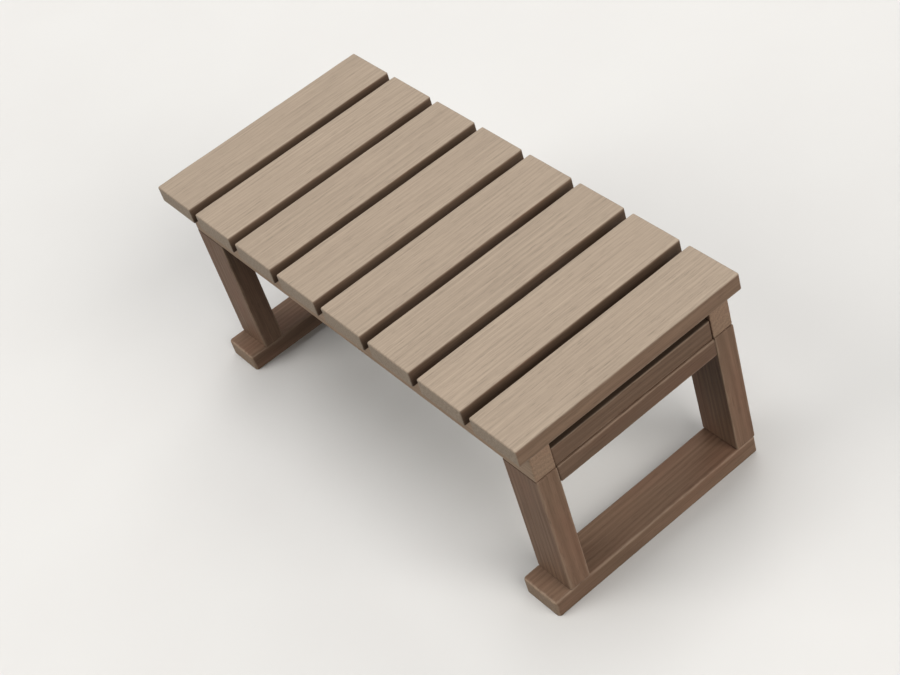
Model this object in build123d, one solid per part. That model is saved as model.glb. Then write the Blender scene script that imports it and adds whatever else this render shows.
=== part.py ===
from build123d import *
import os

# Spa steps: one slatted tread on two open side frames, joined with dowels and hidden screws.
# Frame: +X along the width, +Y from the front towards the tub, +Z up.
# The origin is the centre of the overall footprint, at floor level. Lengths are in millimetres.

# ---- driving dimensions -------------------------------------------------
# tread boards, laid front to back
SLAT_COUNT = 8
SLAT_WIDTH = 63
SLAT_LENGTH = 267
SLAT_THICK = 20
SLAT_GAP = 12

# overall height, floor to the top of the tread
STEP_HEIGHT = 226

# side frames: a leg at each corner, a rail between the leg tops, a foot rail on the floor
BOARD_WIDTH = 48            # width of legs, rails and foot rails, across the step
LEG_DEPTH = 24              # thickness of a leg, front to back
RAIL_THICK = 20
FOOT_THICK = 20
LEG_SETBACK = 12            # slat fronts stand this far in front of the legs
FRAME_LENGTH = 240          # front face of the front leg to back face of the back leg
FOOT_TOE = 20               # foot rail stands this far in front of the front leg
LEFT_OVERHANG = 27.5        # tread past the left side frame
RIGHT_OVERHANG = 2.5        # and past the right one

# deck frame under the tread: a bearer across the leg tops at front and back, side boards between
BEARER_DEPTH = 24
BEARER_HEIGHT = 34
BEARER_END_GAP = 1          # bearer ends stop this far short of the outer leg faces
SIDE_BOARD_THICK = 20
SIDE_BOARD_RECESS = 2       # side boards sit this far inside the outer leg faces
SHADOW_GAP = 11             # open line between a side board and the slat above it

# edge rounding
SLAT_EASE = 1.6
FRAME_EASE = 1.4
FOOT_EASE = 3.0
FOOT_CORNER = 4.0           # upright corners of the foot rail's ends
FOOT_BEVEL = 0.7            # where the foot rail meets the floor

# countersunk wood screws
SCREW_RADIUS = 2.25
SCREW_HEAD_RADIUS = 4.3
SCREW_HEAD_HEIGHT = 2.6
SCREW_POINT = 4.0           # length of the tapered tip
SCREW_SINK = 0.6            # heads sit this far below the surface
SOCKET_RADIUS = 1.7         # hexagon socket in the head
SOCKET_DEPTH = 1.4
LONG_SCREW = 50
SHORT_SCREW = 36
SLAT_SCREW_INSET = 10       # from each long edge of a slat
BEARER_END_CLEAR = 20       # no slat screw nearer than this to a bearer's end
FOOT_SCREW_OFFSET = 12      # from the middle of a leg, across the step
RAIL_SCREW_OFFSET = 54      # from the middle of a side rail, along it

# fluted beech dowels, modelled as plain pins with bevelled ends
DOWEL_RADIUS = 4
DOWEL_BEVEL = 0.8
SHORT_DOWEL = 30
LONG_DOWEL = 40
LEG_DOWEL_OFFSET = 12       # from the middle of a leg, towards the middle of the step
RAIL_DOWEL_OFFSETS = (-14, 0)   # the same way, so that these dowels miss the leg dowels

# ---- worked-out places --------------------------------------------------
SLAT_PITCH = SLAT_WIDTH + SLAT_GAP
DECK_WIDTH = SLAT_COUNT * SLAT_PITCH - SLAT_GAP
TOTAL_DEPTH = max(SLAT_LENGTH, LEG_SETBACK + FRAME_LENGTH) + FOOT_TOE - LEG_SETBACK

DECK_LEFT = -DECK_WIDTH / 2
DECK_RIGHT = DECK_WIDTH / 2
SLAT_FRONT = -TOTAL_DEPTH / 2 + FOOT_TOE - LEG_SETBACK
LEG_FRONT = SLAT_FRONT + LEG_SETBACK
LEG_BACK = LEG_FRONT + FRAME_LENGTH
RAIL_FRONT = LEG_FRONT + LEG_DEPTH
RAIL_BACK = LEG_BACK - LEG_DEPTH
FRAME_MIDDLE = (LEG_FRONT + LEG_BACK) / 2

SLAT_BOTTOM = STEP_HEIGHT - SLAT_THICK
LEG_TOP = SLAT_BOTTOM - BEARER_HEIGHT
RAIL_BOTTOM = LEG_TOP - RAIL_THICK
SIDE_BOARD_TOP = SLAT_BOTTOM - SHADOW_GAP

# each side: the outer face of its frame, and the direction from there to the middle of the step
SIDES = {"left": (DECK_LEFT + LEFT_OVERHANG, 1), "right": (DECK_RIGHT - RIGHT_OVERHANG, -1)}
LEG_FACES = {"front": LEG_FRONT, "back": LEG_BACK - LEG_DEPTH}
BEARER_LEFT = SIDES["left"][0] + BEARER_END_GAP
BEARER_RIGHT = SIDES["right"][0] - BEARER_END_GAP


def board(x0, x1, y0, y1, z0, z1):
    """A square-edged board between two corners."""
    size = (x1 - x0, y1 - y0, z1 - z0)
    middle = ((x0 + x1) / 2, (y0 + y1) / 2, (z0 + z1) / 2)
    return Pos(*middle) * Box(*size)


def side_span(side, inset, width):
    """Low and high X of a piece that starts `inset` inside a side frame's outer face."""
    face, inward = SIDES[side]
    ends = (face + inward * inset, face + inward * (inset + width))
    return min(ends), max(ends)


def board_middle(side):
    """X of the middle of a side frame's legs and rails."""
    return sum(side_span(side, 0, BOARD_WIDTH)) / 2


def side_board_middle(side):
    """X of the middle of the thin board over a side rail."""
    return sum(side_span(side, SIDE_BOARD_RECESS, SIDE_BOARD_THICK)) / 2


# ---- boards -------------------------------------------------------------
def slat(index):
    """A tread board with every edge eased."""
    x0 = DECK_LEFT + index * SLAT_PITCH
    blank = board(x0, x0 + SLAT_WIDTH, SLAT_FRONT, SLAT_FRONT + SLAT_LENGTH, SLAT_BOTTOM, STEP_HEIGHT)
    return fillet(blank.edges(), SLAT_EASE)


def bearer(end):
    """The cross board that carries the slats and lies on the leg tops."""
    y0 = LEG_FRONT if end == "front" else LEG_BACK - BEARER_DEPTH
    blank = board(BEARER_LEFT, BEARER_RIGHT, y0, y0 + BEARER_DEPTH, LEG_TOP, SLAT_BOTTOM)
    return fillet(blank.edges(), FRAME_EASE)


def side_board(side):
    """The board on edge between the bearers, just below the outer slat."""
    x0, x1 = side_span(side, SIDE_BOARD_RECESS, SIDE_BOARD_THICK)
    blank = board(x0, x1, RAIL_FRONT, RAIL_BACK, LEG_TOP, SIDE_BOARD_TOP)
    return fillet(blank.edges().filter_by(Axis.Y), FRAME_EASE)


def leg(side, end):
    """A leg, standing on the foot rail, with its upright edges and top eased."""
    x0, x1 = side_span(side, 0, BOARD_WIDTH)
    y0 = LEG_FACES[end]
    blank = board(x0, x1, y0, y0 + LEG_DEPTH, FOOT_THICK, LEG_TOP)
    top = blank.faces().sort_by(Axis.Z)[-1]
    return fillet(blank.edges().filter_by(Axis.Z) + top.edges(), FRAME_EASE)


def side_rail(side):
    """The flat board between the leg tops, under the side board."""
    x0, x1 = side_span(side, 0, BOARD_WIDTH)
    blank = board(x0, x1, RAIL_FRONT, RAIL_BACK, RAIL_BOTTOM, LEG_TOP)
    return fillet(blank.edges().filter_by(Axis.Y), FRAME_EASE)


def foot_rail(side):
    """The board on the floor, with a rounded toe in front of the leg."""
    x0, x1 = side_span(side, 0, BOARD_WIDTH)
    blank = board(x0, x1, LEG_FRONT - FOOT_TOE, LEG_BACK, 0, FOOT_THICK)
    rounded = fillet(blank.edges().filter_by(Axis.Z), FOOT_CORNER)
    top = rounded.faces().sort_by(Axis.Z)[-1]
    eased = fillet(top.edges(), FOOT_EASE)
    base = eased.faces().sort_by(Axis.Z)[0]
    return chamfer(base.edges(), FOOT_BEVEL)


# ---- fasteners ----------------------------------------------------------
def screw(x, y, z, length):
    """A countersunk wood screw driven upwards, its head a little above height z."""
    head = z + SCREW_SINK
    neck = head + SCREW_HEAD_HEIGHT
    tip = head + length
    profile = Polyline(
        (0, head),
        (SCREW_HEAD_RADIUS, head),
        (SCREW_RADIUS, neck),
        (SCREW_RADIUS, tip - SCREW_POINT),
        (0, tip),
        close=True,
    )
    body = revolve(Plane.XZ * make_face(profile), Axis.Z)
    socket = Pos(0, 0, head) * extrude(RegularPolygon(SOCKET_RADIUS, 6), SOCKET_DEPTH)
    return Pos(x, y, 0) * (body - socket)


def screw_hole(x, y, z, length):
    """The hole that a screw fills: its own outline, open to the face that it is driven from."""
    head = z + SCREW_SINK
    neck = head + SCREW_HEAD_HEIGHT
    tip = head + length
    profile = Polyline(
        (0, z),
        (SCREW_HEAD_RADIUS, z),
        (SCREW_HEAD_RADIUS, head),
        (SCREW_RADIUS, neck),
        (SCREW_RADIUS, tip - SCREW_POINT),
        (0, tip),
        close=True,
    )
    return Pos(x, y, 0) * revolve(Plane.XZ * make_face(profile), Axis.Z)


def dowel(middle, direction, length):
    """A dowel pin centred on a joint, along the given axis direction."""
    pin = Cylinder(DOWEL_RADIUS, length)
    pin = chamfer(pin.edges(), DOWEL_BEVEL)
    return Plane(origin=middle, z_dir=direction) * pin


def slat_screw_places():
    """Screws through both bearers into the slats, two to a slat except at the bearers' ends."""
    places = []
    for end_y in (LEG_FRONT + BEARER_DEPTH / 2, LEG_BACK - BEARER_DEPTH / 2):
        for index in range(SLAT_COUNT):
            x0 = DECK_LEFT + index * SLAT_PITCH
            for x in (x0 + SLAT_SCREW_INSET, x0 + SLAT_WIDTH - SLAT_SCREW_INSET):
                if BEARER_LEFT + BEARER_END_CLEAR < x < BEARER_RIGHT - BEARER_END_CLEAR:
                    places.append((x, end_y, LEG_TOP, LONG_SCREW))
    return places


def foot_screw_places():
    """Two screws up through the foot rail into the end of each leg."""
    return [
        (board_middle(side) + step, LEG_FACES[end] + LEG_DEPTH / 2, 0, LONG_SCREW)
        for side in SIDES
        for end in LEG_FACES
        for step in (-FOOT_SCREW_OFFSET, FOOT_SCREW_OFFSET)
    ]


def rail_screw_places():
    """Two screws up through each side rail that hold the deck frame down."""
    return [
        (side_board_middle(side), FRAME_MIDDLE + step, RAIL_BOTTOM, SHORT_SCREW)
        for side in SIDES
        for step in (-RAIL_SCREW_OFFSET, RAIL_SCREW_OFFSET)
    ]


def rail_dowel_places():
    """Two dowels at each end of a side rail, into the legs."""
    z = RAIL_BOTTOM + RAIL_THICK / 2
    return [
        ((board_middle(side) + SIDES[side][1] * step, y, z), (0, 1, 0), SHORT_DOWEL)
        for side in SIDES
        for y in (RAIL_FRONT, RAIL_BACK)
        for step in RAIL_DOWEL_OFFSETS
    ]


def side_board_dowel_places():
    """One dowel at each end of a side board, into the bearers."""
    z = (LEG_TOP + SIDE_BOARD_TOP) / 2
    return [
        ((side_board_middle(side), y, z), (0, 1, 0), SHORT_DOWEL)
        for side in SIDES
        for y in (RAIL_FRONT, RAIL_BACK)
    ]


def leg_dowel_places():
    """One upright dowel at the top of each leg, into the bearer."""
    places = []
    for side, (_, inward) in SIDES.items():
        x = board_middle(side) + inward * LEG_DOWEL_OFFSET
        for y0 in LEG_FACES.values():
            places.append(((x, y0 + LEG_DEPTH / 2, LEG_TOP), (0, 0, 1), LONG_DOWEL))
    return places


# ---- assembly -----------------------------------------------------------
def make_boards():
    """Every board by name, still without its holes."""
    boards = {f"slat_{index + 1}": slat(index) for index in range(SLAT_COUNT)}
    for end in ("front", "back"):
        boards[f"{end}_bearer"] = bearer(end)
    for side in SIDES:
        boards[f"{side}_side_board"] = side_board(side)
        boards[f"{side}_side_rail"] = side_rail(side)
        boards[f"{side}_foot_rail"] = foot_rail(side)
        for end in LEG_FACES:
            boards[f"{side}_{end}_leg"] = leg(side, end)
    return boards


def drill(solid, holes):
    """The board less every hole that reaches it."""
    box = solid.bounding_box()
    near = [hole for hole in holes if hole.bounding_box().overlaps(box)]
    return solid.cut(*near) if near else solid


SCREWS = {
    "slat_screws": slat_screw_places(),
    "side_rail_screws": rail_screw_places(),
    "foot_screws": foot_screw_places(),
}
DOWELS = {
    "side_rail_dowels": rail_dowel_places(),
    "side_board_dowels": side_board_dowel_places(),
    "leg_dowels": leg_dowel_places(),
}

holes = [screw_hole(*place) for places in SCREWS.values() for place in places]
holes += [dowel(*place) for places in DOWELS.values() for place in places]

nodes = {name: drill(solid, holes) for name, solid in make_boards().items()}
for name, places in SCREWS.items():
    nodes[name] = Compound([screw(*place) for place in places])
for name, places in DOWELS.items():
    nodes[name] = Compound([dowel(*place) for place in places])

os.makedirs("parts", exist_ok=True)
for name, shape in nodes.items():
    export_step(shape, f"parts/{name}.step")
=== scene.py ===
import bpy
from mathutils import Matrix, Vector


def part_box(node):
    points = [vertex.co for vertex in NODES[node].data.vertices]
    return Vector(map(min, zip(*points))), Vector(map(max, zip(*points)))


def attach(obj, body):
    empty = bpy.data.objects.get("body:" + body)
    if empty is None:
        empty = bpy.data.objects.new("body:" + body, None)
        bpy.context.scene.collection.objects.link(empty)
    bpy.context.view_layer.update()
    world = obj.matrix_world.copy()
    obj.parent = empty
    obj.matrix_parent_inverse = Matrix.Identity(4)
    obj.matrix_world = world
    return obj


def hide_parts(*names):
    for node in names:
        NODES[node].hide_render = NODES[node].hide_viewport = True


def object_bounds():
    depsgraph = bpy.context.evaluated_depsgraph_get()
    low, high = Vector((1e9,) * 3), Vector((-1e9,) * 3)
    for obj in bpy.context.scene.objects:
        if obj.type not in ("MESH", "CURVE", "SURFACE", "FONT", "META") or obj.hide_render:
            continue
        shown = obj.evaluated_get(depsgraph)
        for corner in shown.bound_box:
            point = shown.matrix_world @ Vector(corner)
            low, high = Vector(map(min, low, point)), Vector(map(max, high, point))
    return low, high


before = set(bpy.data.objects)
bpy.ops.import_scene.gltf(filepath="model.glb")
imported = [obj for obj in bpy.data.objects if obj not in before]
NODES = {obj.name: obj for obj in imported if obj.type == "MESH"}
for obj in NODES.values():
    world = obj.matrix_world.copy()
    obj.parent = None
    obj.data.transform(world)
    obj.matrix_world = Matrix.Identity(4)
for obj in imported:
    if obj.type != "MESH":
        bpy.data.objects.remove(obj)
CAD_BOX = [list(corner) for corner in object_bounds()]

# The looks of a slatted step for a spa: eight teak slats on a teak frame, stained brown, the tread
# weathered to a grey beige that also holds a painted sheen of the overhead light, held together from
# below by stainless screws and beech dowels.
import math
import random

import bpy
from mathutils import Matrix, Vector, noise

MM = 0.001
X, Y, Z = 0, 1, 2
SAME_PLACE = 1e-6           # metres: points nearer than this are one
NOTHING = 1e-8              # metres too small to count

# ---- the frame's nodes, by what they are -------------------------------------
SLATS = sorted(name for name in NODES if name.startswith("slat_") and name != "slat_screws")
BEARERS = ["front_bearer", "back_bearer"]
LEGS = sorted(name for name in NODES if name.endswith("_leg"))
SIDE_BOARDS = sorted(name for name in NODES if name.endswith("_side_board"))
SIDE_RAILS = sorted(name for name in NODES if name.endswith("_side_rail"))
FOOT_RAILS = sorted(name for name in NODES if name.endswith("_foot_rail"))
SCREWS = ["slat_screws", "side_rail_screws", "foot_screws"]
DOWELS = ["side_rail_dowels", "side_board_dowels", "leg_dowels"]

# ---- how each board is cut ---------------------------------------------------
SLAT_EASE = 1.6 * MM
FRAME_EASE = 1.4 * MM
FOOT_EASE = 3.0 * MM        # wide round along the top of a foot rail
FOOT_CORNER = 4.0 * MM      # its upright corners
FOOT_BEVEL = 0.7 * MM       # its lower edge
UNEVEN = 0.3                # how far hand sanding strays from an even round, as a part of it
UNEVEN_SPAN = 26.0 * MM
ARC_STEPS = 3               # loops in half of a rounded edge
SUPPORT = 0.7 * MM          # flat strip that keeps a rounded edge crisp
CELL = 7.0 * MM             # grid of the flat faces
HOLLOW = 0.22 * MM          # how far a planed face wanders inwards
HOLLOW_SPAN = 75.0 * MM     # distance over which it wanders
CREASE = math.radians(35)   # edges sharper than this stay sharp: only the rims of the countersinks

# ---- the noise that shapes the boards: each starts from its own number, so that no two are alike ----
NOISE_RANGE = 50.0
SANDING_STEP = (1.3, 2.9, 0.7)      # how far that number moves a board through the noise
HOLLOW_STEP = (3.1, 1.7, 2.3)

# ---- where each board lay in its log, for rings that run true from face to end ----
PITH_NEAR = 60.0 * MM       # nearest and farthest that the heart of the log lies from a board
PITH_FAR = 170.0 * MM
PITH_LEAN = 32.0            # degrees that a sawn board strays from true quarter-sawn
LOG_LENGTH = 40.0           # metres of log that the boards are spread over, so that none repeat
GRAIN_TILT = 0.010          # slope of the grain to the board's length

# ---- how the weather has greyed it, with painted light, from 0 to 1: faces that look up, ends, faces that look forward ----
# the tread: grey from the weather on its ends, and on its tops weathering with a painted sheen of the
# overhead light
TREAD_WEATHER_AND_SHEEN = (1.0, 1.0, 0.0)
FOOT_WEATHER = (0.0, 0.85, 0.0)
# front bearer: weathered ends, and painted light on its front face under the tread's overhang
FRONT_BEARER_WEATHER_AND_LIGHT = (0.0, 0.35, 0.8)
BACK_BEARER_WEATHER = (0.0, 0.35, 0.0)
SHELTERED = (0.0, 0.0, 0.0)
GRIME_DEPTH = 1.8 * MM      # how far out of a joint the dirt, and the painted shade on the legs' fronts, shows
JOINT_DIRT = 0.15               # part of that which is dirt, on every face; the legs' front faces, under the overhang, take the rest as painted shade
GAP_PAINTED_SHADE = 0.65            # painted shade on the sides of the slats, deep in the gaps between them
GAP_RIM = 4.0 * MM          # it thins out over this depth, up to the tread
OUTER_SIDE = 1.0 * MM       # a slat this near the end of the tread has no neighbour there
FACING_START = 0.35         # cosine from which a face counts as looking one way
FACING_SPAN = 0.5           # and over which it grows to count in full

# ---- how pale each kind of board is drawn: its colour is multiplied by one of this range ----
TREAD_TONES = (0.93, 0.96)
BEARER_TONES = (0.98, 1.03)
LEG_TONES = (0.84, 0.88)
# side boards and rails: drawn the darkest of all
SIDE_TONES = (0.64, 0.67)
FOOT_TONES = (0.79, 0.83)

# ---- countersinks --------------------------------------------------------------
SINK_CLEAR = 0.2 * MM       # gap round a screw head
SINK_DEPTH = 1.3 * MM       # deeper than the face of the head, which stands in it
SINK_BELOW = 1.0 * MM       # the cutter starts this far under the board
SINK_SIDES = 32
HEAD_NEAR = 2.0 * MM        # a screw belongs to the board whose underside is this near its head

# ---- camera ----------------------------------------------------------------------
VIEW_AZIMUTH = 64.05        # degrees round from straight in front
VIEW_ELEVATION = 42.6
VIEW_DISTANCE = 1.858       # metres from the aim
VIEW_ROLL = -19.1           # degrees; the step leans the way a tilted camera shows it
VIEW_AIM = (0.012, -0.014, -0.019)      # from the middle of the step
VIEW_LENS = 74.0
SENSOR_WIDTH = 36.0

# ---- studio ----------------------------------------------------------------------
FLOOR_HALF = 30.0           # metres from its middle to a side
FLOOR_DROP = 0.1 * MM       # under the foot rails
FLOOR_MOTTLE = 6.0          # patches to a metre
# each soft light: its degrees round from the front, up, and across, its strength and its tint
LIGHTS = {
    "overhead_panel": (-100, 78, 40, 1.56, "FBFCFF"),
    "right_panel": (100, 33, 45, 2.3, "FFFDFA"),
    "front_panel": (-30, 32, 45, 1.5, "FFFDFA"),
    "back_panel": (215, 30, 45, 0.8, "FFFDFA"),
}
AIR_TINT = "F4F4F2"
AIR_STRENGTH = 0.14

SEED = 11


# ---- eased boards ---------------------------------------------------------------
def arc_stations(radius):
    """Distances from a corner whose points, pushed onto the arc, are evenly spaced round it."""
    turns = [math.radians(45 * step / ARC_STEPS) for step in range(ARC_STEPS, 0, -1)]
    return [radius * (1 - math.tan(turn)) for turn in turns]


def stations(low, high, radii):
    """Places for the loops across a board: fine through each rounded edge, one at the rim of the
    painted shade in a gap, and even between them."""
    near = {d for r in radii for d in arc_stations(r) + [r]}
    near = sorted(near | {max(radii) + SUPPORT, GAP_RIM})
    inner_low, inner_high = low + near[-1], high - near[-1]
    count = max(1, round((inner_high - inner_low) / CELL))
    between = [inner_low + (inner_high - inner_low) * i / count for i in range(1, count)]
    return [low + d for d in near] + between + [high - d for d in reversed(near)]


def box_grid(lines):
    """Points and quads over the outside of a box, from its loop places along each axis."""
    points, index, quads = [], {}, []

    def point(co):
        key = tuple(round(c / SAME_PLACE) for c in co)
        if key not in index:
            index[key] = len(points)
            points.append(Vector(co))
        return index[key]

    for axis in (X, Y, Z):
        u, v = [a for a in (X, Y, Z) if a != axis]
        for place, outward in ((lines[axis][0], -1), (lines[axis][-1], 1)):
            for i in range(len(lines[u]) - 1):
                for j in range(len(lines[v]) - 1):
                    corners = []
                    for di, dj in ((0, 0), (1, 0), (1, 1), (0, 1)):
                        co = [0.0, 0.0, 0.0]
                        co[axis], co[u], co[v] = place, lines[u][i + di], lines[v][j + dj]
                        corners.append(point(co))
                    faces_up = outward * (1 if axis != Y else -1)
                    quads.append(corners if faces_up > 0 else corners[::-1])
    return points, quads


def square_to_round(offset):
    """Moves a point of a square corner onto the round corner inside it."""
    largest = max(abs(c) for c in offset)
    return offset * (largest / offset.length)


def ease_all(co, low, high, radius):
    """Rounds every edge and corner of a box."""
    core = Vector(max(low[a] + radius, min(high[a] - radius, co[a])) for a in range(3))
    offset = co - core
    if sum(1 for c in offset if abs(c) > NOTHING) < 2:
        return co       # on a flat face
    return core + offset.normalized() * radius


def ease_foot(co, low, high):
    """Rounds a foot rail: its upright corners first, then a wide round on top and a bevel below."""
    core = Vector(max(low[a] + FOOT_CORNER, min(high[a] - FOOT_CORNER, co[a])) for a in (X, Y))
    offset = Vector((co.x, co.y)) - core
    if min(abs(offset.x), abs(offset.y)) > NOTHING:
        offset = square_to_round(offset)
        inset = FOOT_CORNER - offset.length
        outward = offset.normalized()
        plan = core + offset
    else:
        left, right = (co.x - low.x, (-1, 0)), (high.x - co.x, (1, 0))
        front, back = (co.y - low.y, (0, -1)), (high.y - co.y, (0, 1))
        inset, outward = min(left, right, front, back)
        outward = Vector(outward)
        plan = Vector((co.x, co.y))
    height = co.z
    for radius, depth, up in ((FOOT_EASE, high.z - co.z, 1), (FOOT_BEVEL, co.z - low.z, -1)):
        if max(inset, depth) < radius - NOTHING:
            section = square_to_round(Vector((radius - inset, radius - depth)))
            plan = plan + outward * (inset - (radius - section.x))
            height = (high.z if up > 0 else low.z) - up * (radius - section.y)
    return Vector((plan.x, plan.y, height))


def edge_distance(co, low, high, along, foot):
    """How far a point lies from an edge that gets rubbed: one along its board, or round a foot's top."""
    inward = [min(co[a] - low[a], high[a] - co[a]) for a in range(3)]
    if not foot:
        return max(inward[a] for a in range(3) if a != along)
    inward[Z] = high.z - co.z
    return sorted(inward)[1]


def sand(square, eased, seed):
    """Hand sanding: each edge is rounded a little more in one place and less in another."""
    place = square / UNEVEN_SPAN + Vector(seed * step for step in SANDING_STEP)
    return eased + (eased - square) * UNEVEN * noise.noise(place)


def hollow(co, low, high, seed):
    """A planed board is never dead flat: pulls its faces in by a fraction of a millimetre."""
    place = co / HOLLOW_SPAN + Vector(seed * step for step in HOLLOW_STEP)
    depth = HOLLOW * (0.5 + 0.5 * noise.noise(place))
    middle = (low + high) / 2
    pulled = co.copy()
    for axis in (X, Y, Z):
        half = (high[axis] - low[axis]) / 2
        reach = (co[axis] - middle[axis]) / half
        if abs(reach) > 0.5:        # the middle of the other faces stays where it is
            pulled[axis] -= math.copysign(depth, reach)
    return pulled


def choose_pith(rng):
    """Where the heart of the log lies from a board: off to one side, as when sawn on the quarter."""
    angle = math.radians(rng.uniform(-PITH_LEAN, PITH_LEAN))
    side = Vector((math.cos(angle), math.sin(angle))) * rng.uniform(PITH_NEAR, PITH_FAR)
    tilt = [rng.uniform(-GRAIN_TILT, GRAIN_TILT) for _ in range(2)]
    return side, rng.uniform(0, LOG_LENGTH), tilt


def grain_place(co, low, high, along, pith):
    """Where a point lies in its log: along the trunk, and across from the heart in two directions."""
    across, deep = sorted((a for a in (X, Y, Z) if a != along), key=lambda a: low[a] - high[a])
    middle = (low + high) / 2
    run = co[along] - middle[along]
    side, start, tilt = pith
    return (
        run + start,
        co[across] - middle[across] + side.x + tilt[0] * run,
        co[deep] - middle[deep] + side.y + tilt[1] * run,
    )


def facing(amount):
    """How far a face looks one way, with a soft start: 0 sideways on, 1 straight at it."""
    return max(0.0, min(1.0, (amount - FACING_START) / FACING_SPAN))


def weathering_and_light(normal, along, weather_and_light):
    """Weathering and painted light: one amount where a face looks up, others on the ends and in front."""
    up, ends, front = weather_and_light
    # faces that look forward take painted light; only the front bearer has any
    return max(facing(normal.z) * up, facing(abs(normal[along])) * ends, facing(-normal.y) * front)


def grime_and_shade(co, normal, low, high, along, node):
    """Dirt in the joints at board ends; painted shade in the gaps, under the tread and on leg fronts."""
    # the sides of the slats in the gaps: painted shade, growing with depth below the tread
    if node in SLATS:
        beyond = CAD_BOX[1][X] - high.x if normal.x > 0 else low.x - CAD_BOX[0][X]
        if beyond < OUTER_SIDE:
            return 0.0
        below = min(1.0, (high.z - co.z) / GAP_RIM)
        return GAP_PAINTED_SHADE * below * facing(abs(normal.x))
    # the tops of the bearers, under the slats and seen through the gaps: painted shade
    if node in BEARERS:
        return facing(normal.z)
    if node in FOOT_RAILS:
        return 0.0
    from_end = min(co[along] - low[along], high[along] - co[along])
    in_joint = max(0.0, 1 - from_end / GRIME_DEPTH)
    # side boards: dirt at the end joints, and painted shade on the top face, in the slot under the tread
    if node in SIDE_BOARDS:
        return max(JOINT_DIRT * in_joint, facing(normal.z))
    # legs: the front faces, in the shade of the tread's overhang, take full painted shade at their ends
    overhang_shade = facing(-normal.y) if node in LEGS else 0.0
    return in_joint * (JOINT_DIRT + (1 - JOINT_DIRT) * overhang_shade)


def store_timber(mesh, low, high, along, node, weather_and_light, pith, tone):
    """Stores each point's place in its log, edge distance, greying and painted light, plank tone, grime
    and painted shade.
    """
    layers = mesh.attributes
    for name, kind in (("grain", "FLOAT_VECTOR"), ("finish", "FLOAT_VECTOR"), ("grime_and_shade", "FLOAT")):
        layers.new(name, kind, "POINT")
    for i, vertex in enumerate(mesh.vertices):
        edge = edge_distance(vertex.co, low, high, along, node in FOOT_RAILS)
        layers["grain"].data[i].vector = grain_place(vertex.co, low, high, along, pith)
        layers["finish"].data[i].vector = (edge, weathering_and_light(vertex.normal, along, weather_and_light), tone)
        layers["grime_and_shade"].data[i].value = grime_and_shade(vertex.co, vertex.normal, low, high, along, node)


def make_board(
    node, along, material, rng, tones, radius=FRAME_EASE, weather_and_light=SHELTERED, heads=(),
):
    """A board in the place of its CAD node, with its grain, edges, weathering, painted light and painted
    shade on its points.
    """
    foot = node in FOOT_RAILS
    low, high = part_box(node)
    plan_radii = [FOOT_CORNER, FOOT_EASE] if foot else [radius]
    height_radii = [FOOT_EASE, FOOT_BEVEL] if foot else [radius]
    lines = [stations(low[a], high[a], plan_radii) for a in (X, Y)]
    lines.append(stations(low.z, high.z, height_radii))
    points, quads = box_grid(lines)
    seed = rng.uniform(0, NOISE_RANGE)
    places = []
    for co in points:
        eased = ease_foot(co, low, high) if foot else ease_all(co, low, high, radius)
        places.append(hollow(sand(co, eased, seed), low, high, seed))
    mesh = bpy.data.meshes.new(node + "_board")
    mesh.from_pydata(places, [], quads)
    mesh.validate()     # takes out the quads of no width where two radii start at one edge
    board = bpy.data.objects.new(node + "_board", mesh)
    bpy.context.scene.collection.objects.link(board)
    cut_countersinks(board, low, high, heads)
    board.data.shade_smooth()
    board.data.set_sharp_from_angle(angle=CREASE)
    pith, tone = choose_pith(rng), rng.uniform(*tones)
    store_timber(board.data, low, high, along, node, weather_and_light, pith, tone)
    board.data.materials.append(material)
    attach(board, "root")
    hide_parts(node)


# ---- countersinks ----------------------------------------------------------------
def screw_heads(node):
    """Middle and radius of each screw head in a group, read from the group's own mesh."""
    mesh = NODES[node].data
    parent = list(range(len(mesh.vertices)))

    def root(i):
        while parent[i] != i:
            parent[i] = parent[parent[i]]
            i = parent[i]
        return i

    by_place = {}
    for vertex in mesh.vertices:
        key = tuple(round(c / SAME_PLACE) for c in vertex.co)
        parent[vertex.index] = by_place.setdefault(key, vertex.index)
    for edge in mesh.edges:
        parent[root(edge.vertices[0])] = root(edge.vertices[1])
    groups = {}
    for vertex in mesh.vertices:
        groups.setdefault(root(vertex.index), []).append(vertex.co)
    heads = []
    for group in groups.values():
        low = Vector(min(co[a] for co in group) for a in range(3))
        high = Vector(max(co[a] for co in group) for a in range(3))
        middle = Vector(((low.x + high.x) / 2, (low.y + high.y) / 2, low.z))
        heads.append((middle, (high.x - low.x) / 2))
    return heads


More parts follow.
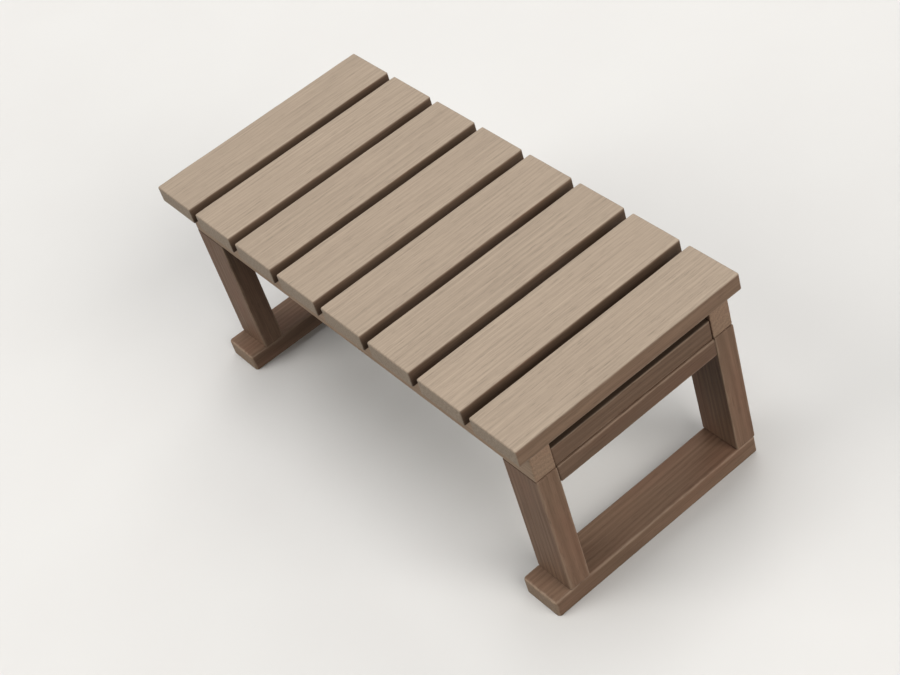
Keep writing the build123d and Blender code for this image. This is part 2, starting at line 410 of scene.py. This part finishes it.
def cut_countersinks(board, low, high, heads):
    """Opens the underside of a board over each screw head that it holds."""
    mine = [
        (middle, radius) for middle, radius in heads
        if low.x < middle.x < high.x and low.y < middle.y < high.y and abs(middle.z - low.z) < HEAD_NEAR
    ]
    if not mine:
        return
    points, faces = [], []
    ring = range(SINK_SIDES)
    for middle, radius in mine:
        first = len(points)
        reach = radius + SINK_CLEAR
        for z in (low.z - SINK_BELOW, low.z + SINK_DEPTH):
            for step in ring:
                angle = 2 * math.pi * step / SINK_SIDES
                x, y = middle.x + reach * math.cos(angle), middle.y + reach * math.sin(angle)
                points.append((x, y, z))
        for i in ring:
            j = (i + 1) % SINK_SIDES
            faces.append((first + i, first + j, first + j + SINK_SIDES, first + i + SINK_SIDES))
        faces.append([first + i for i in reversed(ring)])
        faces.append([first + i + SINK_SIDES for i in ring])
    mesh = bpy.data.meshes.new("countersink_cutter")
    mesh.from_pydata(points, [], faces)
    cutter = bpy.data.objects.new("countersink_cutter", mesh)
    bpy.context.scene.collection.objects.link(cutter)
    cut = board.modifiers.new("countersinks", "BOOLEAN")
    cut.operation = "DIFFERENCE"
    cut.solver = "EXACT"
    cut.object = cutter
    graph = bpy.context.evaluated_depsgraph_get()
    board.data = bpy.data.meshes.new_from_object(board.evaluated_get(graph))
    board.modifiers.clear()
    bpy.data.objects.remove(cutter)


# ---- node helpers ------------------------------------------------------------------
def hex_colour(code):
    """An sRGB hex colour as the linear values that a shader takes."""
    parts = [int(code[i:i + 2], 16) / 255 for i in (0, 2, 4)]
    linear = [c / 12.92 if c <= 0.04045 else ((c + 0.055) / 1.055) ** 2.4 for c in parts]
    return (*linear, 1.0)


def add(tree, kind, inputs=None, **settings):
    """Adds a node with its settings, fed by values or by other nodes' sockets; gives its outputs."""
    node = tree.nodes.new(kind)
    for name, value in settings.items():
        setattr(node, name, value)
    for name, value in (inputs or {}).items():
        if isinstance(value, bpy.types.NodeSocket):
            tree.links.new(value, node.inputs[name])
        else:
            node.inputs[name].default_value = value
    return node.outputs


def new_material(name):
    """A node material with its surface shader; returns the material, its tree and the shader."""
    material = bpy.data.materials.new(name)
    material.use_nodes = True
    return material, material.node_tree, material.node_tree.nodes["Principled BSDF"]


# ---- materials ----------------------------------------------------------------------
# the weathered grey also stands for a painted sheen on the tread's tops and for painted light on the front
# bearer's face
TREAD_COLOURS = {
    "stain": "866D59", "ring_stain": "6A5443", "ruddy": "876A58",
    "weathered_and_lit": "A39381", "rubbed": "AE9E8B",
}
FRAME_COLOURS = {
    "stain": "866B57", "ring_stain": "68513F", "ruddy": "8A6450",
    "weathered_and_lit": "A68F78", "rubbed": "B09A84",
}
# near black: dirt in the joints, and painted shade in the gaps, under the tread and on the legs' fronts
GRIME_AND_SHADE_COLOUR = "2F2318"
# how much of each colour covers the one before it, where it lies thickest
RING_COVER = 0.4
RUDDY_COVER = 0.42
WEATHER_AND_LIGHT_COVER = 0.92
WEAR_COVER = 0.4
GRIME_AND_SHADE_COVER = 0.85
# what the colour is multiplied by
FIBRE_SHADES = (0.84, 1.14)     # dark fibres and light ones
RING_SHADES = (1.03, 0.96)      # early wood and late wood, which still show through the grey
PORE_SHADE = 0.8

RING_WIDTH = 2.9 * MM       # half of one growth ring
RING_WANDER = 3.0 * MM      # how far a ring strays to either side
WEAR_BARE = 0.3 * MM        # an edge is worn most this far in
WEAR_REACH = (1.2 * MM, 3.6 * MM)       # and a little as far as this: least, and where it was knocked
TEAK_ROUGHNESS = (0.70, 0.58)           # between fibres, and on them
TEAK_RELIEF = 0.25 * MM     # how high brushing leaves the fibres
PORE_DIP = 0.7              # as a part of that height
RING_RIDGE = 0.25
# each figure of the timber: its length along the grain and its width across, in metres, and its detail
FIGURES = {
    "waver": (180 * MM, 22 * MM, 2.0),      # rings that wander with the tree's growth
    "blotch": (120 * MM, 34 * MM, 2.0),     # stain that took unevenly
    "fibre": (90 * MM, 1.7 * MM, 3.0),      # bundles of fibres, raised by brushing
    "pore": (15 * MM, 0.9 * MM, 1.0),       # real pores are a third of this wide; drawn to show
    "patch": (25 * MM, 6 * MM, 3.0),        # knocks and rubs, in patches
}
STEEL_SCRATCHES = (300.0, 300.0, 3000.0)    # turning marks to a metre: a third of a millimetre apart
STEEL_RELIEF = 0.02 * MM
BEECH_FLECKS = (900.0, 250.0, 900.0)        # flecks to a metre: about 1 mm wide and 4 mm long


def stained_teak(name, stain, ring_stain, ruddy, weathered_and_lit, rubbed):
    """Teak sawn on the quarter, planed and brushed, under a matt stain: straight fine rings, short dark
    pores, a dry silky face, and edges where the stain has rubbed thin."""
    material, tree, shader = new_material(name)
    grain = add(tree, "ShaderNodeAttribute", attribute_name="grain")["Vector"]
    finish = add(tree, "ShaderNodeAttribute", attribute_name="finish")["Vector"]
    finish = add(tree, "ShaderNodeSeparateXYZ", {"Vector": finish})
    edge, greyed_and_lit, tone = finish["X"], finish["Y"], finish["Z"]
    dirt_and_shade = add(tree, "ShaderNodeAttribute", attribute_name="grime_and_shade")["Fac"]

    # every figure is noise drawn out along the grain
    figure = {}
    for what, (length, width, detail) in FIGURES.items():
        stretch = (1 / length, 1 / width, 1 / width)
        place = add(tree, "ShaderNodeVectorMath", {0: grain, 1: stretch}, operation="MULTIPLY")["Vector"]
        figure[what] = add(tree, "ShaderNodeTexNoise", {
            "Vector": place, "Scale": 1.0, "Detail": detail,
        })["Fac"]

    # growth rings: distance from the heart of the log, a little unsteady
    waver = add(tree, "ShaderNodeMapRange", {
        "Value": figure["waver"], "From Min": 0.25, "From Max": 0.75,
        "To Min": -RING_WANDER, "To Max": RING_WANDER,
    })["Result"]
    section = add(tree, "ShaderNodeVectorMath", {
        0: grain, 1: (0.0, 1.0, 1.0),
    }, operation="MULTIPLY")["Vector"]
    reach = add(tree, "ShaderNodeVectorMath", {0: section}, operation="LENGTH")["Value"]
    reach = add(tree, "ShaderNodeMath", {0: reach, 1: waver}, operation="ADD")["Value"]
    turns = add(tree, "ShaderNodeMath", {0: reach, 1: 1 / RING_WIDTH}, operation="MULTIPLY")["Value"]
    ring = add(tree, "ShaderNodeMath", {0: turns, 1: 1.0}, operation="PINGPONG")["Value"]

    # stain: darker in each ring's late wood, ruddier in blotches, greyed by the weather, with a painted
    # sheen on the tread's tops and painted light on the front bearer's face
    amount = add(tree, "ShaderNodeMath", {0: ring, 1: RING_COVER}, operation="MULTIPLY")["Value"]
    colour = add(tree, "ShaderNodeMix", {
        "Factor": amount, "A": hex_colour(stain), "B": hex_colour(ring_stain),
    }, data_type="RGBA")["Result"]
    amount = add(tree, "ShaderNodeMapRange", {
        "Value": figure["blotch"], "From Min": 0.42, "From Max": 0.68, "To Max": RUDDY_COVER,
    })["Result"]
    colour = add(tree, "ShaderNodeMix", {
        "Factor": amount, "A": colour, "B": hex_colour(ruddy),
    }, data_type="RGBA")["Result"]
    amount = add(tree, "ShaderNodeMath", {0: greyed_and_lit, 1: WEATHER_AND_LIGHT_COVER}, operation="MULTIPLY")["Value"]
    colour = add(tree, "ShaderNodeMix", {
        "Factor": amount, "A": colour, "B": hex_colour(weathered_and_lit),
    }, data_type="RGBA")["Result"]

    # light and dark fibres, rings that still show through the grey, and how pale the plank is
    fibres = add(tree, "ShaderNodeMapRange", {
        "Value": figure["fibre"], "From Min": 0.25, "From Max": 0.75,
        "To Min": FIBRE_SHADES[0], "To Max": FIBRE_SHADES[1],
    })["Result"]
    rings = add(tree, "ShaderNodeMapRange", {
        "Value": ring, "To Min": RING_SHADES[0], "To Max": RING_SHADES[1],
    })["Result"]
    for shade in (fibres, rings, tone):
        colour = add(tree, "ShaderNodeMix", {
            "Factor": 1.0, "A": colour, "B": shade,
        }, data_type="RGBA", blend_type="MULTIPLY")["Result"]

    # wear: paler along the edges, and further in where a patch has been knocked
    inward = add(tree, "ShaderNodeMapRange", {
        "Value": figure["patch"], "From Min": 0.35, "From Max": 0.65,
        "To Min": WEAR_REACH[0], "To Max": WEAR_REACH[1],
    })["Result"]
    worn = add(tree, "ShaderNodeMapRange", {
        "Value": edge, "From Min": WEAR_BARE, "From Max": inward, "To Min": WEAR_COVER, "To Max": 0.0,
    })["Result"]
    colour = add(tree, "ShaderNodeMix", {
        "Factor": worn, "A": colour, "B": hex_colour(rubbed),
    }, data_type="RGBA")["Result"]

    # pores: short dark scores that hold the stain
    pore = add(tree, "ShaderNodeMapRange", {
        "Value": figure["pore"], "From Min": 0.60, "From Max": 0.72,
    })["Result"]
    shade = add(tree, "ShaderNodeMapRange", {
        "Value": pore, "To Min": 1.0, "To Max": PORE_SHADE,
    })["Result"]
    colour = add(tree, "ShaderNodeMix", {
        "Factor": 1.0, "A": colour, "B": shade,
    }, data_type="RGBA", blend_type="MULTIPLY")["Result"]

    # grime and painted shade: near black as dirt where boards meet, and as painted shade in the tread's
    # gaps, under it and on the legs' fronts
    amount = add(tree, "ShaderNodeMath", {0: dirt_and_shade, 1: GRIME_AND_SHADE_COVER}, operation="MULTIPLY")["Value"]
    colour = add(tree, "ShaderNodeMix", {
        "Factor": amount, "A": colour, "B": hex_colour(GRIME_AND_SHADE_COLOUR),
    }, data_type="RGBA")["Result"]
    tree.links.new(colour, shader.inputs["Base Color"])

    # finish and relief: raised fibres take a little more shine, pores are pits, late wood stands up
    rough = add(tree, "ShaderNodeMapRange", {
        "Value": figure["fibre"], "From Min": 0.3, "From Max": 0.7,
        "To Min": TEAK_ROUGHNESS[0], "To Max": TEAK_ROUGHNESS[1],
    })["Result"]
    tree.links.new(rough, shader.inputs["Roughness"])
    dip = add(tree, "ShaderNodeMath", {0: pore, 1: -PORE_DIP}, operation="MULTIPLY")["Value"]
    relief = add(tree, "ShaderNodeMath", {0: figure["fibre"], 1: dip}, operation="ADD")["Value"]
    ridge = add(tree, "ShaderNodeMath", {0: ring, 1: RING_RIDGE}, operation="MULTIPLY")["Value"]
    relief = add(tree, "ShaderNodeMath", {0: relief, 1: ridge}, operation="ADD")["Value"]
    normal = add(tree, "ShaderNodeBump", {
        "Height": relief, "Strength": 0.6, "Distance": TEAK_RELIEF,
    })["Normal"]
    tree.links.new(normal, shader.inputs["Normal"])
    shader.inputs["IOR"].default_value = 1.5
    shader.inputs["Specular IOR Level"].default_value = 0.25
    return material


def turned_stainless():
    """Stainless screw stock, turned: fine rings round the shank, a satin grey shine."""
    material, tree, shader = new_material("turned_stainless")
    place = add(tree, "ShaderNodeTexCoord")["Object"]
    fine = add(tree, "ShaderNodeVectorMath", {
        0: place, 1: STEEL_SCRATCHES,
    }, operation="MULTIPLY")["Vector"]
    scratch = add(tree, "ShaderNodeTexNoise", {"Vector": fine, "Scale": 1.0, "Detail": 3.0})["Fac"]
    rough = add(tree, "ShaderNodeMapRange", {
        "Value": scratch, "From Min": 0.3, "From Max": 0.7, "To Min": 0.28, "To Max": 0.42,
    })["Result"]
    tree.links.new(rough, shader.inputs["Roughness"])
    normal = add(tree, "ShaderNodeBump", {
        "Height": scratch, "Strength": 0.3, "Distance": STEEL_RELIEF,
    })["Normal"]
    tree.links.new(normal, shader.inputs["Normal"])
    shader.inputs["Base Color"].default_value = hex_colour("C6C4C0")
    shader.inputs["Metallic"].default_value = 1.0
    return material


def raw_beech():
    """Raw beech dowel stock: pale and pinkish, with short brown flecks."""
    material, tree, shader = new_material("raw_beech")
    place = add(tree, "ShaderNodeTexCoord")["Object"]
    drawn = add(tree, "ShaderNodeVectorMath", {
        0: place, 1: BEECH_FLECKS,
    }, operation="MULTIPLY")["Vector"]
    fleck = add(tree, "ShaderNodeTexNoise", {"Vector": drawn, "Scale": 1.0, "Detail": 2.0})["Fac"]
    amount = add(tree, "ShaderNodeMapRange", {"Value": fleck, "From Min": 0.5, "From Max": 0.7})["Result"]
    colour = add(tree, "ShaderNodeMix", {
        "Factor": amount, "A": hex_colour("D6B58C"), "B": hex_colour("A67C52"),
    }, data_type="RGBA")["Result"]
    tree.links.new(colour, shader.inputs["Base Color"])
    shader.inputs["Roughness"].default_value = 0.7
    return material


def painted_floor():
    """A pale painted studio floor, matt, with the faintest mottling."""
    material, tree, shader = new_material("painted_floor")
    place = add(tree, "ShaderNodeTexCoord")["Object"]
    mottle = add(tree, "ShaderNodeTexNoise", {
        "Vector": place, "Scale": FLOOR_MOTTLE, "Detail": 3.0,
    })["Fac"]
    colour = add(tree, "ShaderNodeMix", {
        "Factor": mottle, "A": hex_colour("D0CECB"), "B": hex_colour("D4D3D0"),
    }, data_type="RGBA")["Result"]
    tree.links.new(colour, shader.inputs["Base Color"])
    shader.inputs["Roughness"].default_value = 0.9
    return material


# ---- studio ------------------------------------------------------------------------------
def lay_floor():
    """A wide pale floor just under the foot rails."""
    mesh = bpy.data.meshes.new("studio_floor")
    corners = [(FLOOR_HALF * x, FLOOR_HALF * y, 0) for x, y in ((-1, -1), (1, -1), (1, 1), (-1, 1))]
    mesh.from_pydata(corners, [], [(0, 1, 2, 3)])
    mesh.materials.append(painted_floor())
    floor = bpy.data.objects.new("studio_floor", mesh)
    floor.location.z = CAD_BOX[0][Z] - FLOOR_DROP
    bpy.context.scene.collection.objects.link(floor)
    floor.visible_diffuse = False       # no pale light thrown up under the tread


def towards(azimuth, elevation):
    """The direction out to something that stands at these degrees round from the front, and up."""
    turn, lift = math.radians(azimuth), math.radians(elevation)
    return Vector((math.sin(turn) * math.cos(lift), -math.cos(turn) * math.cos(lift), math.sin(lift)))


def soft_light(name, azimuth, elevation, spread, strength, tint):
    """A large far panel: even light over the whole floor, with shadows as soft as it looks wide."""
    lamp = bpy.data.lights.new(name, "SUN")
    lamp.angle = math.radians(spread)
    lamp.energy = strength
    lamp.color = hex_colour(tint)[:3]
    holder = bpy.data.objects.new(name, lamp)
    holder.rotation_euler = (-towards(azimuth, elevation)).to_track_quat("-Z", "Y").to_euler()
    bpy.context.scene.collection.objects.link(holder)


def light_studio():
    """Light from overhead and the right, with less from the front left and a little from behind."""
    for name, light in LIGHTS.items():
        soft_light(name, *light)
    world = bpy.data.worlds.new("studio_air")
    world.use_nodes = True
    air = world.node_tree.nodes["Background"]
    air.inputs["Color"].default_value = hex_colour(AIR_TINT)
    air.inputs["Strength"].default_value = AIR_STRENGTH
    bpy.context.scene.world = world
    bpy.context.scene.view_settings.view_transform = "Standard"


def place_camera(middle):
    """The camera stands off the step's right front corner and looks down on it, leaning a little."""
    back = towards(VIEW_AZIMUTH, VIEW_ELEVATION)
    lens = bpy.data.cameras.new("camera")
    lens.lens = VIEW_LENS
    lens.sensor_width = SENSOR_WIDTH
    camera = bpy.data.objects.new("camera", lens)
    camera.location = middle + Vector(VIEW_AIM) + back * VIEW_DISTANCE
    level = (-back).to_track_quat("-Z", "Y").to_matrix()
    camera.rotation_euler = (level @ Matrix.Rotation(math.radians(VIEW_ROLL), 3, "Z")).to_euler()
    bpy.context.scene.collection.objects.link(camera)
    bpy.context.scene.camera = camera


# ---- the step --------------------------------------------------------------------------
def build_boards():
    """Every board, each cut from its own piece of timber."""
    rng = random.Random(SEED)
    heads = [head for node in SCREWS for head in screw_heads(node)]
    # the tread's grey tops are weathering with a painted sheen; the frame's timber also takes painted
    # light and painted shade
    tread = stained_teak("weathered_teak_painted_sheen", **TREAD_COLOURS)
    timber = stained_teak("brown_stained_teak", **FRAME_COLOURS)
    for node in SLATS:
        make_board(node, Y, tread, rng, TREAD_TONES, SLAT_EASE, TREAD_WEATHER_AND_SHEEN)
    for node, weather_and_light in zip(BEARERS, (FRONT_BEARER_WEATHER_AND_LIGHT, BACK_BEARER_WEATHER)):
        make_board(node, X, timber, rng, BEARER_TONES, weather_and_light=weather_and_light, heads=heads)
    for node in SIDE_BOARDS:
        make_board(node, Y, timber, rng, SIDE_TONES)
    for node in SIDE_RAILS:
        make_board(node, Y, timber, rng, SIDE_TONES, heads=heads)
    for node in LEGS:
        make_board(node, Z, timber, rng, LEG_TONES)
    for node in FOOT_RAILS:
        make_board(node, Y, timber, rng, FOOT_TONES, weather_and_light=FOOT_WEATHER, heads=heads)


def finish_fasteners():
    """Steel on the screws and beech on the dowels, which keep their CAD shapes."""
    for nodes, material in ((SCREWS, turned_stainless()), (DOWELS, raw_beech())):
        for node in nodes:
            mesh = NODES[node].data
            mesh.materials.clear()
            mesh.materials.append(material)


build_boards()
finish_fasteners()
lay_floor()
light_studio()
place_camera((Vector(CAD_BOX[0]) + Vector(CAD_BOX[1])) / 2)
